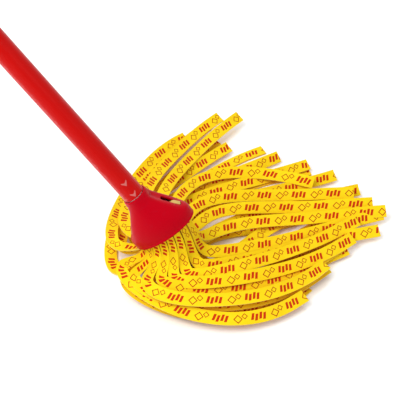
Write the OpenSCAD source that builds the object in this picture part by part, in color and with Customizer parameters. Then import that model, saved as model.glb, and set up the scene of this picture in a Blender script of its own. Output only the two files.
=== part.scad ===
// String mop: a red moulded bell on a coated steel tube, and a push-in refill
// of flat non-woven strips that lie fanned out on the floor.

/* [Handle] */
// Outer diameter of the handle tube with its plastic coat
handle_d = 25; // [20:0.5:30]
// Wall of the handle tube with its plastic coat
handle_wall = 1; // [0.6:0.1:2]
// Thickness of the plastic coat, which leaves the pushed-in end bare
coat_t = 0.3; // [0.2:0.05:0.5]
// How much bare tube shows above the collar
bare_ring = 1; // [0.5:0.5:5]
// Length of the handle tube
handle_len = 1200; // [800:10:1500]
// Diameter of the hanging hole in the end cap
hang_hole_d = 9; // [6:0.5:11]

/* [Bell] */
// Height of the bell from its mouth to its collar rim
bell_h = 59; // [52:1:75]
// Width of the bell where it is widest
bell_w = 79; // [72:1:95]
// Depth of the bell where it is deepest, front to back
bell_d = 46; // [42:1:60]
// Wall of the bell
bell_wall = 2.2; // [1.6:0.1:3]
// Wall of the collar round the handle
collar_wall = 2.1; // [1.6:0.1:3]
// How far the handle reaches into the collar
socket_depth = 34; // [24:1:40]
// Height of the bead round the mouth
lip_h = 2.4; // [1:0.2:4]
// How far the bead stands out
lip_out = 0.6; // [0.2:0.1:1.5]
// Depth of the two thumb channels down the bell's ends
channel_depth = 4.5; // [2:0.5:6]
// Width of a release slot
slot_w = 7.5; // [6:0.5:10]
// Length of a release slot, measured along the handle
slot_len = 20; // [14:1:24]

/* [Refill] */
// Height of the strips' upper ends above the mouth
seat_h = 16; // [12:1:20]
// Thickness of the carrier plate
carrier_t = 3; // [2:0.5:5]
// Height of the carrier's skirt round the strips
skirt_h = 6; // [4:1:8]
// Width of a snap lug
lug_w = 6; // [4:0.5:8]
// How far a snap lug is pressed in
lug_travel = 2.5; // [1:0.5:3]

/* [Strips] */
// Width of a strip
strip_w = 15; // [10:0.5:18]
// Thickness of a strip
strip_t = 2; // [1:0.1:2.5]
// Length of a strip below the carrier
strip_len = 300; // [240:5:340]
// Width that a strip is gathered to where it is held
gathered_w = 8.5; // [6:0.5:9]
// Tilt of the upper strips about their own length
strip_tilt = 8; // [0:1:12]
// Rise of each layer of strips beside the bell
heap_rise = 13; // [10:0.5:16]
// Rise of each layer of strips at the edge of the fan
edge_rise = 6; // [4.2:0.1:8]

/* [Stance] */
// Lean of the handle from upright
lean = 36; // [30:1:42]
// Turn of the bell about the handle
turn = 20; // [0:1:30]
// Height of the mouth's middle above the floor
mouth_h = 60; // [55:1:70]

/* [Fits] */
// Radial gap between the handle and its socket
socket_fit = 0.08; // [0.04:0.01:0.1]
// Radial gap of the plugs pressed into the tube
plug_fit = 0.02; // [0:0.01:0.05]
// Gap round parts that move or that are pushed in
slide_fit = 0.4; // [0.3:0.1:0.8]

/* [Hidden] */
$fn = 64;
bare_r = handle_d / 2 - coat_t;
socket_r = bare_r + socket_fit;
collar_r = socket_r + collar_wall;
// The flare follows a cosine wave through this many degrees, bent by the bias
flare_sweep = 207;
flare_bias = 0.85;
flare_steps = 16;
flare_sides = 72;
// How far below the collar's rim the bell is hollow
crown = 10;
// The socket's floor, on which the handle stands
socket_floor = bell_h - socket_depth;
floor_t = 2;
// The walls across the hollow: thickness, place beside the middle one, and how far their
// tops stay below the collar's rim
rib_t = 1.6;
rib_x = 17;
rib_below = 22;
mid_rib_below = 12;
rib_steps = 6;
// The thumb channels: where they begin, reach full depth and fade out under the rim, and
// their half width as an angle round the bell
channel_from = 12;
channel_full = 24;
channel_fade = 11;
channel_end = 2;
channel_span = 26;
slot_from = seat_h + 2;
slot_corner = 2.2;
slot_x = rib_x + (rib_t + slide_fit) / 2;
plate_top = seat_h + carrier_t;
// The floor point under the middle of the fan, in front of the mouth: the part's origin
fan_middle = [113, 46];

// The three rings in which the strips leave the carrier: half width and half depth
RINGS = [[31, 16], [25.8, 11.4], [20.4, 7]];
ring_layer = [2, 1, 0];
// Where a strip leaves the mouth, as a share of the bell's half width and depth
exit_share = 0.9;
// How far outside the mouth a strip comes down on the heap, how much of that it comes
// down flat, and the depth of its first bend
landing = 22;
landing_flat = 0.8;
first_drop = 20;
// Steps of the run down, of the run over the floor, and of the part in which it changes layer
down_steps = 12;
floor_steps = 40;
layer_steps = 25;
strip_steps = 20;
// Shares of a strip between which it widens from where it is held to its full width, and
// by which its face has turned up and has its tilt
gather_from = 0.07;
gather_to = 0.3;
face_up_by = 0.24;
tilted_by = 0.2;
// Distances from the bell between which the layers sink from one rise to the other
heap_near = 50;
heap_far = 200;
// Step round an oval, in degrees
oval_step = 5;

// Each strip's route over the floor, chosen by hand: how far it runs straight out of the
// bell, the point it passes halfway, the point it is led to, and its last layer.
UPPER = [
  [25, [116, 48], [236, 129], 1.5],
  [35, [90, 70], [250, 136], 2],
  [50, [76, 92], [254, 152], 2],
  [60, [56, 108], [240, 167], 2],
  [70, [20, 139], [188, 154], 2],
  [60, [-18, 146], [34, 268], 2],
  [50, [-44, 128], [10, 262], 2],
  [50, [-60, 106], [-4, 244], 1.2],
  [40, [-76, 88], [-20, 226], 0.6],
  [30, [22, -74], [156, -30], 1.3],
  [30, [44, -66], [172, 18], 1.5],
  [45, [66, -64], [187, 39], 2.4],
  [20, [66, -41], [169, 33], 1.5],
  [25, [92, -22], [212, 86], 2.1],
  [20, [88, -7], [196, 94], 2.3],
  [15, [102, 20], [179, 73], 1.4]
];
MIDDLE = [
  [35, [102, 66], [228, 151], 1],
  [45, [86, 92], [218, 176], 1],
  [60, [67, 118], [188, 200], 1],
  [60, [40, 128], [156, 216], 1],
  [60, [20, 134], [127, 236], 1],
  [50, [-18, 134], [92, 258], 1],
  [30, [28, -70], [150, -12], 0.5],
  [10, [55, -55], [167, 8], 1],
  [19, [94, -13], [238, 101], 1],
  [6, [108, 28], [224, 134], 0.75]
];
LOWER = [
  [30, [113, 46], [206, 140], 0],
  [45, [90, 78], [202, 158], 0],
  [60, [42, 126], [150, 200], 0],
  [60, [1, 136], [80, 225], 0],
  [50, [-43, 110], [5, 212], 0],
  [35, [-76, 58], [-28, 195], 0],
  [20, [50, -65], [150, -22], 0],
  [10, [67, -39], [156, 16], 0],
  [10, [83, -7], [172, 64], 0]
];

// ---- Shared shapes ----

function smooth(t) = let (u = min(1, max(0, t))) u * u * (3 - 2 * u);
function mix(a, b, t) = a + (b - a) * t;
function unit(v) = v / norm(v);

// The bell stands upright about Z in its own frame, its mouth at z = 0.
module in_bell_frame() {
  translate([-fan_middle.x, -fan_middle.y, mouth_h])
    rotate([0, -lean, 0]) rotate([0, 0, turn]) children();
}

TURN_ABOUT_HANDLE = [[cos(turn), -sin(turn), 0], [sin(turn), cos(turn), 0], [0, 0, 1]];
LEAN_BACK = [[cos(lean), 0, -sin(lean)], [0, 1, 0], [sin(lean), 0, cos(lean)]];
// A direction, and a point, of the bell's frame as the strips' routes count them
function leant(v) = LEAN_BACK * TURN_ABOUT_HANDLE * v;
function from_bell(p) = leant(p) + [0, 0, mouth_h];

// How far the flare has opened at height z: 0 at the collar, about 1 at the mouth
function flare(z) = pow((1 - cos(flare_sweep * (bell_h - z) / bell_h)) / 2, flare_bias);
function half_w(z) = mix(collar_r, bell_w / 2, flare(z));
function half_d(z) = mix(collar_r, bell_d / 2, flare(z));
// Depth of the thumb channel at height z, and its share at angle a round the bell
function channel(z) = channel_depth * smooth((z - channel_from) / (channel_full - channel_from))
  * smooth((bell_h - channel_end - z) / channel_fade);
function beside(a) = exp(-pow(min(a % 180, 180 - a % 180) / channel_span, 2));

function bell_ring(z, inset, bead) = [for (i = [0:flare_sides - 1]) let (
    a = 360 * i / flare_sides,
    dent = channel(z) * beside(a))
  [(half_w(z) - dent - inset + bead) * cos(a), (half_d(z) - inset + bead) * sin(a), z]];

// A closed solid through rings of equal length, from the lowest to the highest
module loft(rings) {
  n = len(rings[0]);
  top = (len(rings) - 1) * n;
  polyhedron(
    points = [for (r = rings) each r],
    faces = concat(
      [[for (i = [0:n - 1]) i]],
      [[for (i = [n - 1:-1:0]) top + i]],
      [for (k = [0:len(rings) - 2], i = [0:n - 1]) let (j = (i + 1) % n)
        each [[k * n + i, (k + 1) * n + i, (k + 1) * n + j],
              [k * n + i, (k + 1) * n + j, k * n + j]]]
    )
  );
}

// A slot with round corners, cut along X
module slot_tool(w, from, to, corner, x0, x1) {
  for (y = [-1, 1] * (w / 2 - corner), z = [from + corner, to - corner])
    translate([x0, y, z]) rotate([0, 90, 0]) cylinder(r = corner, h = x1 - x0);
  translate([x0, -w / 2, from + corner]) cube([x1 - x0, w, to - from - 2 * corner]);
  translate([x0, -w / 2 + corner, from]) cube([x1 - x0, w - 2 * corner, to - from]);
}

function oval(w, d) = [for (a = [0:oval_step:360 - oval_step]) [w * cos(a), d * sin(a)]];

// ---- Bell ----

module bell_outside() {
  bead_top = lip_h + lip_out;
  loft(concat(
    [for (z = [0, lip_h]) bell_ring(z, 0, lip_out)],
    [for (i = [0:flare_steps]) bell_ring(mix(bead_top, bell_h, i / flare_steps), 0, 0)]
  ));
}

module bell_hollow() {
  hollow_top = bell_h - crown;
  loft([for (i = [0:flare_steps]) bell_ring(mix(-1, hollow_top, i / flare_steps), bell_wall, 0)]);
}

// A wall across the hollow at x, which stiffens the bell and stops the carrier
module rib(x) {
  across = function(z) let (w = half_w(z) - bell_wall / 2)
    (half_d(z) - bell_wall / 2) * sqrt(max(0, 1 - pow(x / w, 2)));
  rib_top = bell_h - (x == 0 ? mid_rib_below : rib_below);
  steps = [for (i = [0:rib_steps]) mix(plate_top, rib_top, i / rib_steps)];
  translate([x + rib_t / 2, 0, 0]) rotate([0, -90, 0]) linear_extrude(rib_t) polygon(concat(
    [for (z = steps) [z, across(z)]],
    [for (i = [rib_steps:-1:0]) [steps[i], -across(steps[i])]]
  ));
}

module bell() {
  color([0.78, 0.02, 0.11]) in_bell_frame() difference() {
    union() {
      difference() {
        bell_outside();
        bell_hollow();
      }
      for (x = [-rib_x, 0, rib_x]) rib(x);
      translate([0, 0, socket_floor - floor_t]) cylinder(r = collar_r, h = socket_depth + floor_t);
    }
    translate([0, 0, socket_floor]) cylinder(r = socket_r, h = socket_depth + 1);
    for (side = [0, 180]) rotate([0, 0, side])
      slot_tool(slot_w, slot_from, slot_from + slot_len, slot_corner, slot_x, bell_w);
  }
}

// ---- Handle ----

ferrule_flange = 2;
ferrule_plug = 22;
tube_foot = socket_floor + ferrule_flange;
tube_top = tube_foot + handle_len;
bore_r = handle_d / 2 - handle_wall;
plug_r = bore_r - plug_fit;
chamfer = 1;

module handle_tube() {
  coat_from = bell_h + bare_ring;
  color([0.83, 0.07, 0.06]) in_bell_frame() difference() {
    union() {
      translate([0, 0, tube_foot]) cylinder(r = bare_r, h = handle_len);
      translate([0, 0, coat_from]) cylinder(d = handle_d, h = tube_top - coat_from);
    }
    translate([0, 0, tube_foot - 1]) cylinder(r = bore_r, h = handle_len + 2);
  }
}

// The plug that closes the tube's lower end: a flange, and a sleeve inside the tube
module handle_ferrule() {
  sleeve_wall = 1.8;
  sleeve_r = plug_r - sleeve_wall;
  inner_floor = ferrule_flange + floor_t;
  color([0.15, 0.15, 0.15]) in_bell_frame() translate([0, 0, socket_floor])
    rotate_extrude() polygon([
      [0, 0], [bare_r - chamfer, 0], [bare_r, chamfer], [bare_r, ferrule_flange],
      [plug_r, ferrule_flange], [plug_r, ferrule_plug - chamfer],
      [plug_r - chamfer, ferrule_plug], [sleeve_r, ferrule_plug],
      [sleeve_r, inner_floor], [0, inner_floor]
    ]);
}

// The cap in the tube's upper end, with an eye to hang the mop by
module end_cap() {
  cap_r = handle_d / 2 - 0.3;
  cap_wall = 2;
  rim_t = 3;
  eye_t = 9;
  eye_rise = 17;
  color([0.78, 0.02, 0.11]) in_bell_frame() translate([0, 0, tube_top]) difference() {
    union() {
      translate([0, 0, -ferrule_plug]) cylinder(r = plug_r, h = ferrule_plug);
      cylinder(r = cap_r, h = rim_t);
      intersection() {
        union() {
          translate([-cap_r, -eye_t / 2, 0]) cube([2 * cap_r, eye_t, eye_rise]);
          translate([0, 0, eye_rise]) rotate([90, 0, 0]) cylinder(r = cap_r, h = eye_t, center = true);
        }
        cylinder(r = cap_r, h = eye_rise + cap_r);
      }
      translate([0, 0, rim_t]) cylinder(r1 = cap_r, r2 = eye_t / 2, h = cap_r - eye_t / 2);
    }
    translate([0, 0, eye_rise]) rotate([90, 0, 0])
      cylinder(d = hang_hole_d, h = eye_t + 2, center = true);
    translate([0, 0, -ferrule_plug - 1]) cylinder(r = plug_r - cap_wall, h = ferrule_plug);
  }
}

// ---- Refill carrier ----

// Half width and half depth that the bell's hollow leaves the carrier at height z
function carrier_half(z) = [half_w(z) - channel(z), half_d(z)] - [1, 1] * (bell_wall + slide_fit);
skirt_t = 1.2;
notch_from = rib_x + rib_t / 2 + slide_fit;
notch_w = lug_w + 2 * slide_fit;

module carrier() {
  low = carrier_half(seat_h);
  top = carrier_half(plate_top);
  color([0.81, 0.67, 0.30]) in_bell_frame() difference() {
    union() {
      translate([0, 0, seat_h]) linear_extrude(carrier_t, scale = [top.x / low.x, top.y / low.y])
        polygon(oval(low.x, low.y));
      translate([0, 0, seat_h - skirt_h]) linear_extrude(skirt_h) difference() {
        polygon(oval(low.x, low.y));
        polygon(oval(low.x - skirt_t, low.y - skirt_t));
      }
    }
    for (side = [0, 180]) rotate([0, 0, side])
      translate([notch_from, -notch_w / 2, seat_h]) cube([bell_w, notch_w, bell_h]);
    // Room for the socket's underside, which reaches the plate in a short bell
    translate([0, 0, socket_floor - floor_t - slide_fit])
      cylinder(r = collar_r + slide_fit, h = bell_h);
  }
}

// A snap lug: a foot in the carrier's notch, and a nose that catches in the bell's slot.
// Pressed in by lug_travel, the nose clears the slot's edge.
module lug() {
  foot_z = seat_h + slide_fit;
  foot_x = notch_from + lug_travel + slide_fit;
  foot_w = 6;
  draft = 0.5;
  nose_z = slot_from + 1.2;
  nose_top = nose_z + 7;
  proud = 0.4;
  face = function(z) half_w(z) - channel(z) + proud;
  translate([0, lug_w / 2, 0]) rotate([90, 0, 0]) linear_extrude(lug_w) polygon([
    [foot_x, foot_z], [foot_x + foot_w, foot_z], [foot_x + foot_w + draft, nose_z],
    [face(nose_z), nose_z], [face(nose_top - chamfer), nose_top - chamfer],
    [face(nose_top) - chamfer, nose_top], [foot_x + chamfer, nose_top],
    [foot_x, nose_top - 2 * chamfer]
  ]);
}

module lug_right() {
  color([0.87, 0.75, 0.42]) in_bell_frame() lug();
}

module lug_left() {
  color([0.87, 0.75, 0.42]) in_bell_frame() rotate([0, 0, 180]) lug();
}

// ---- Strips ----

// Angles against the run round an oval, so that strips can be spaced by length
function oval_runs(w, d) = let (at = function(a) [w * cos(a), d * sin(a)])
  [for (a = 0, run = 0; a <= 360; run = run + norm(at(a + oval_step) - at(a)), a = a + oval_step)
    [run, a]];
// The angle at a share of the way round, counted from the right end
function oval_angle(w, d, share) = let (
    runs = oval_runs(w, d),
    whole = runs[len(runs) - 1][0])
  lookup((share < 0 ? share + 1 : share) * whole, runs);

function bezier(p, t) = let (u = 1 - t)
  u * u * u * p[0] + 3 * u * u * t * p[1] + 3 * u * t * t * p[2] + t * t * t * p[3];

// How much one layer of strips raises the next, at a floor point
function layer_rise(p) = mix(heap_rise, edge_rise,
  smooth((norm(p) - heap_near) / (heap_far - heap_near)));
function lying(p, layer) = [p.x, p.y, strip_t / 2 + layer * layer_rise(p)];

// The run along a row of points, up to each of them
function runs_to(p) = [
  for (i = 0, run = 0; i < len(p);
      i = i + 1, run = i < len(p) ? run + norm(p[i] - p[i - 1]) : run)
    run];

// The points a strip follows: out of the bell, down on to the heap, over the floor, and on
// straight ahead if any of its length is left
function route(angle, ring, first_layer, row) = let (
    root = [RINGS[ring].x * cos(angle), RINGS[ring].y * sin(angle), seat_h],
    outward = leant([cos(angle), sin(angle), 0]),
    ahead = unit([outward.x, outward.y]),
    edge = from_bell([bell_w * cos(angle), bell_d * sin(angle), 0] * exit_share / 2),
    down = [edge.x, edge.y] + ahead * landing,
    landed = lying(down, first_layer),
    fall = [from_bell(root), from_bell(root - [0, 0, seat_h + first_drop]),
      landed - [ahead.x, ahead.y, 0] * landing * landing_flat, landed],
    turn_in = down + ahead * row[0],
    // The third point puts row[1] on the curve at its middle
    sweep = [down, turn_in, (8 * row[1] - down - 3 * turn_in - row[2]) / 3, row[2]],
    lead = [for (i = [0:down_steps]) bezier(fall, i / down_steps)],
    lay = [for (i = [1:floor_steps]) lying(bezier(sweep, i / floor_steps),
      mix(first_layer, row[3], smooth(i / layer_steps)))],
    last = lay[floor_steps - 1],
    before = lay[floor_steps - 2],
    way = unit([last.x - before.x, last.y - before.y, 0]))
  concat(lead, lay, [last + way * strip_len]);

// Points at equal steps along a route, as far as the strip reaches
function stations(p) = let (
    run = runs_to(p),
    xs = [for (i = [0:len(p) - 1]) [run[i], p[i].x]],
    ys = [for (i = [0:len(p) - 1]) [run[i], p[i].y]],
    zs = [for (i = [0:len(p) - 1]) [run[i], p[i].z]])
  [for (k = [0:strip_steps]) let (s = strip_len * k / strip_steps)
    [lookup(s, xs), lookup(s, ys), lookup(s, zs)]];

// The four corners of a strip at one station
function strip_corners(p, along, facing, share, tilt) = let (
    up = mix(facing, [0, 0, 1], smooth(share / face_up_by)),
    flat_across = unit(cross(along, up)),
    flat_up = cross(flat_across, along),
    roll = tilt * smooth(share / tilted_by),
    across = flat_across * cos(roll) + flat_up * sin(roll),
    out = flat_up * cos(roll) - flat_across * sin(roll),
    w = mix(gathered_w, strip_w, smooth((share - gather_from) / (gather_to - gather_from))) / 2)
  [p - across * w - out * strip_t / 2, p + across * w - out * strip_t / 2,
   p + across * w + out * strip_t / 2, p - across * w + out * strip_t / 2];

module strip(ring, i, rows) {
  n = len(rows);
  angle = oval_angle(RINGS[ring].x, RINGS[ring].y, (i - 0.5) / n);
  facing = leant(unit([cos(angle) / RINGS[ring].x, sin(angle) / RINGS[ring].y, 0]));
  p = stations(route(angle, ring, ring_layer[ring], rows[i]));
  last = strip_steps;
  along = [for (k = [0:last]) k == 0 ? leant([0, 0, -1]) : unit(p[min(k + 1, last)] - p[k - 1])];
  tilt = ring_layer[ring] == 0 ? 0 : strip_tilt;
  corners = [for (k = [0:last]) each strip_corners(p[k], along[k], facing, k / last, tilt)];
  end = 4 * last;
  color([1, 0.87, 0.05]) translate([-fan_middle.x, -fan_middle.y, 0]) polyhedron(
    points = corners,
    faces = concat(
      [[2, 1, 0], [3, 2, 0]],
      [for (k = [0:last - 1], j = [0:3]) let (a = 4 * k + j, b = 4 * k + (j + 1) % 4)
        each [[a + 4, a, b], [b + 4, a + 4, b]]],
      [[end + 1, end + 2, end], [end + 2, end + 3, end]]
    )
  );
}

bell();
handle_tube();
handle_ferrule();
end_cap();
carrier();
lug_right();
lug_left();
for (i = [0:len(UPPER) - 1])
  strip(0, i, UPPER);
for (i = [0:len(MIDDLE) - 1])
  strip(1, i, MIDDLE);
for (i = [0:len(LOWER) - 1])
  strip(2, i, LOWER);
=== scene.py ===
"""String mop: a moulded red bell on a coated tube, with a refill of flat yellow strips."""
import math
import random

import bmesh
import bpy
from mathutils import Matrix, Vector
from mathutils.bvhtree import BVHTree


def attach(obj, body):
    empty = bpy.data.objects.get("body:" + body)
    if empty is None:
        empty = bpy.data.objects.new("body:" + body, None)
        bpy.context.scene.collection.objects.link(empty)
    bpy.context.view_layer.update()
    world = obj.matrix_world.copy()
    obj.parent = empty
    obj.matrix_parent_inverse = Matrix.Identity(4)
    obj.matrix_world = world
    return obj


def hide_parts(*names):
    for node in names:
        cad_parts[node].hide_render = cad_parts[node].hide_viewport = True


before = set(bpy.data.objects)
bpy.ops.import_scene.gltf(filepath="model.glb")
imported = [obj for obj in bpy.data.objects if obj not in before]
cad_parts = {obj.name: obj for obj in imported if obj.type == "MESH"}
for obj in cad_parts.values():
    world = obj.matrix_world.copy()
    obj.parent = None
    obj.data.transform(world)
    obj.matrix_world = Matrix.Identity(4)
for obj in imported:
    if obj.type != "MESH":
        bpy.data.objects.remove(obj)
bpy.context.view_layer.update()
scene = bpy.context.scene

# ---- Where the mop stands, and the camera ----
# The handle leans back by 36 degrees, with the bell's mouth 60 mm above the floor. The camera
# looks down at 45 degrees, 13 degrees off square to the plane in which the handle leans.

MM = 0.001
LEAN, TURN = math.radians(36), math.radians(20)
FAN_MIDDLE = Vector((113, 46, 0))
MOUTH = Vector((0, 0, 60))
LEANT = Matrix.Rotation(-LEAN, 3, "Y") @ Matrix.Rotation(TURN, 3, "Z")
BELL_PLACE = Matrix.Scale(MM, 4) @ Matrix.Translation(MOUTH - FAN_MIDDLE) @ LEANT.to_4x4()

# Points of the photograph, in its own 400 by 400 frame
IMAGE_SIZE = 400
IMAGE_POINTS = {
    "strips' left edge": (104, None),
    "strips' right edge": (387, None),
    "strips' top edge": (None, 112),
    "strips' bottom edge": (None, 325),
    "tube's left side at y 145": (73.4, 145),
    "tube's right side at y 145": (105.2, 145),
    "collar's left end": (123.8, 203.8),
    "collar's right end": (144, 185.5),
    "bell's right tip": (193, 211),
    "bell's lowest point": (144, 249),
    "release slot": (171.5, 202.5),
    "upper mark": (125, 184),
    "lower mark": (134, 194.5),
    "end of the top strip": (239, 117),
    "end of the second strip": (220, 118),
    "end of the fifth strip": (307, 164),
    "end of the ninth strip": (351, 202),
    "end of the bottom strip": (326, 264),
}

camera_height_angle = math.radians(45)
camera_side_angle = math.radians(13)
camera_distance = 1.1806
camera_lens = 94.19
mouth_in_picture = (165.6, 229.3)
sensor_width = 36
focal_pixels = camera_lens / sensor_width * IMAGE_SIZE

camera_data = bpy.data.cameras.new("camera")
camera_data.lens = camera_lens
camera_data.sensor_width = sensor_width
camera_data.sensor_fit = "AUTO"
camera_data.clip_start = 0.02
camera_data.clip_end = 50
camera = bpy.data.objects.new("camera", camera_data)
scene.collection.objects.link(camera)
scene.camera = camera

look_level = Vector((-math.sin(camera_side_angle), math.cos(camera_side_angle), 0))
look_right = Vector((math.cos(camera_side_angle), math.sin(camera_side_angle), 0))
look = look_level * math.cos(camera_height_angle) - Vector((0, 0, math.sin(camera_height_angle)))
look_up = look_right.cross(look)
metres_per_pixel = camera_distance / focal_pixels
mouth_x, mouth_y = mouth_in_picture
camera_place = (
    (MOUTH - FAN_MIDDLE) * MM
    - look * camera_distance
    - look_right * (mouth_x - IMAGE_SIZE / 2) * metres_per_pixel
    + look_up * (mouth_y - IMAGE_SIZE / 2) * metres_per_pixel
)
camera.matrix_world = Matrix.Translation(camera_place) @ Matrix(
    (look_right, look_up, -look)
).transposed().to_4x4()


def under_pixel(point, carrier):
    """The place on the carrier piece that shows at an image point."""
    tree = BVHTree.FromObject(carrier, bpy.context.evaluated_depsgraph_get())
    x, y = point
    ray = Vector((
        x - IMAGE_SIZE / 2 + camera_data.shift_x * IMAGE_SIZE,
        IMAGE_SIZE / 2 - y + camera_data.shift_y * IMAGE_SIZE,
        -focal_pixels,
    ))
    start = camera.matrix_world.translation
    way = (camera.matrix_world.to_3x3() @ ray).normalized()
    hit = tree.ray_cast(start, way)[0]
    if hit is None:
        nearest = min(
            (v.co for v in carrier.data.vertices),
            key=lambda co: ((co - start) - way * (co - start).dot(way)).length,
        )
        hit = nearest.copy()
    return hit


# ---- Bell ----
# One red polypropylene moulding: a collar for the tube on an oval flared skirt, with a bead
# round its mouth, a thumb channel down each end and a release slot in each channel.

BELL_H, BELL_W, BELL_D = 59, 79, 46
BELL_WALL, COLLAR_WALL = 2.2, 2.1
TUBE_R, COAT_T = 12.5, 0.3
SOCKET_DEPTH, SOCKET_FIT, SOCKET_FLOOR_T = 34, 0.08, 2
BARE_R = TUBE_R - COAT_T
BORE_R = BARE_R + SOCKET_FIT
COLLAR_R = BORE_R + COLLAR_WALL
SOCKET_FLOOR = BELL_H - SOCKET_DEPTH
SEAT_H, CARRIER_T = 16, 3
BELL_SIDES = 144
# The flare follows a cosine wave through this many degrees, bent by the bias
FLARE_SWEEP, FLARE_BIAS = 207, 0.85
# The thumb channels: where they begin and are at full depth, how far below the rim they end,
# over what length they fade out there, and their half width as an angle round the bell
CHANNEL_DEPTH, CHANNEL_FROM, CHANNEL_FULL = 4.5, 12, 24
CHANNEL_END, CHANNEL_FADE, CHANNEL_SPAN = 2, 11, 26


def smooth(t):
    t = min(1, max(0, t))
    return t * t * (3 - 2 * t)


def mix(a, b, t):
    return a + (b - a) * t


def flare(z):
    """How far the bell has opened at a height: 0 at the collar, about 1 at the mouth."""
    sweep = math.radians(FLARE_SWEEP * (BELL_H - z) / BELL_H)
    return ((1 - math.cos(sweep)) / 2) ** FLARE_BIAS


def half_w(z):
    return mix(COLLAR_R, BELL_W / 2, flare(z))


def half_d(z):
    return mix(COLLAR_R, BELL_D / 2, flare(z))


def channel(z):
    """Depth of the thumb channels at a height."""
    rise = smooth((z - CHANNEL_FROM) / (CHANNEL_FULL - CHANNEL_FROM))
    return CHANNEL_DEPTH * rise * smooth((BELL_H - CHANNEL_END - z) / CHANNEL_FADE)


def bell_ring(z, inset=0.0, least=0.0):
    """A ring round the bell, inset from its outer face, nowhere nearer the axis than least."""
    ring = []
    for i in range(BELL_SIDES):
        a = 2 * math.pi * i / BELL_SIDES
        from_end = min(math.degrees(a) % 180, 180 - math.degrees(a) % 180)
        dent = channel(z) * math.exp(-((from_end / CHANNEL_SPAN) ** 2))
        x = (half_w(z) - dent - inset) * math.cos(a)
        y = (half_d(z) - inset) * math.sin(a)
        out = max(1.0, least / max(0.001, math.hypot(x, y)))
        ring.append((x * out, y * out, z))
    return ring


def round_ring(r, z, sides=BELL_SIDES):
    steps = [2 * math.pi * i / sides for i in range(sides)]
    return [(r * math.cos(a), r * math.sin(a), z) for a in steps]


def into_piece(name, bm):
    """The finished piece of a mesh drawn upright in the bell's frame, in millimetres."""
    bmesh.ops.recalc_face_normals(bm, faces=bm.faces)
    mesh = bpy.data.meshes.new(name)
    bm.to_mesh(mesh)
    bm.free()
    mesh.transform(BELL_PLACE)
    piece = bpy.data.objects.new(name, mesh)
    scene.collection.objects.link(piece)
    return piece


def skin_rings(name, rings, closed=False):
    """A piece through rings of equal length: a closed loop of them, or with its ends filled."""
    bm = bmesh.new()
    rows = [[bm.verts.new(p) for p in ring] for ring in rings]
    count = len(rows[0])
    following = rows[1:] + rows[:1] if closed else rows[1:]
    for low, high in zip(rows, following):
        for i in range(count):
            j = (i + 1) % count
            bm.faces.new((low[i], low[j], high[j], high[i]))
    if not closed:
        bm.faces.new(rows[0])
        bm.faces.new(rows[-1])
    return into_piece(name, bm)


def apply_modifiers(piece):
    """Gives the piece the plain mesh that its modifiers make."""
    depsgraph = bpy.context.evaluated_depsgraph_get()
    mesh = bpy.data.meshes.new_from_object(
        piece.evaluated_get(depsgraph), preserve_all_data_layers=True, depsgraph=depsgraph)
    piece.modifiers.clear()
    piece.data = mesh


def shade(piece, crease):
    """Smooth shading with sharp edges where faces meet at more than crease degrees."""
    piece.data.shade_smooth()
    piece.data.set_sharp_from_angle(angle=math.radians(crease))


def fit(piece, body, nodes, material):
    """Gives a finished piece its material, its body and the CAD nodes it stands for."""
    piece.data.materials.clear()
    piece.data.materials.append(material)
    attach(piece, body)
    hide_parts(*nodes)


def new_material(name, colour, roughness, **sockets):
    """A material with its own Principled shader, returned with its nodes and that shader."""
    material = bpy.data.materials.new(name)
    material.use_nodes = True
    tree = material.node_tree
    shader = tree.nodes["Principled BSDF"]
    shader.inputs["Base Color"].default_value = (*colour, 1)
    shader.inputs["Roughness"].default_value = roughness
    for socket, value in sockets.items():
        shader.inputs[socket.replace("_", " ")].default_value = value
    return material, tree, shader


def put(tree, kind, inputs=(), **settings):
    """A new node with its settings, and its inputs given as values or as other sockets."""
    node = tree.nodes.new(kind)
    for key, value in settings.items():
        setattr(node, key, value)
    for key, value in dict(inputs).items():
        if isinstance(value, bpy.types.NodeSocket):
            tree.links.new(value, node.inputs[key])
        else:
            node.inputs[key].default_value = value
    return node


def reckon(tree, operation, *values):
    """One step of arithmetic on numbers and other nodes' outputs."""
    node = put(tree, "ShaderNodeMath", dict(enumerate(values)), operation=operation)
    return node.outputs[0]


def stretch(tree, value, low, high, to_low=0.0, to_high=1.0):
    """A value carried from one span to another, and held at that one's ends."""
    return put(tree, "ShaderNodeMapRange", {
        "Value": value, "From Min": low, "From Max": high,
        "To Min": to_low, "To Max": to_high}).outputs["Result"]


def tint(tree, share, first, second):
    """A colour between two, each given as three numbers or as another node's output."""
    first, second = (
        c if isinstance(c, bpy.types.NodeSocket) else (*c, 1) for c in (first, second))
    return put(tree, "ShaderNodeMix", {
        "Factor": share, 6: first, 7: second}, data_type="RGBA").outputs[2]


def on_object(tree):
    return put(tree, "ShaderNodeTexCoord").outputs["Object"]


def noise(tree, place, scale, detail, **more):
    return put(tree, "ShaderNodeTexNoise", {
        "Vector": place, "Scale": scale, "Detail": detail, **more}).outputs["Fac"]


def emboss(tree, shader, height, distance, strength):
    """Bump on a shader, from a height between 0 and 1 and its real depth in metres."""
    bump = put(tree, "ShaderNodeBump", {
        "Height": height, "Distance": distance, "Strength": strength})
    tree.links.new(bump.outputs["Normal"], shader.inputs["Normal"])


def new_group(name, ins, outs):
    """An empty shader group with float or vector inputs, and its input and output sockets."""
    group = bpy.data.node_groups.new(name, "ShaderNodeTree")
    for socket, kind, value in ins:
        made = group.interface.new_socket(socket, in_out="INPUT", socket_type=kind)
        if value is not None:
            made.default_value = value
    for socket in outs:
        group.interface.new_socket(socket, in_out="OUTPUT", socket_type="NodeSocketFloat")
    return group, put(group, "NodeGroupInput").outputs, put(group, "NodeGroupOutput").inputs


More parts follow.
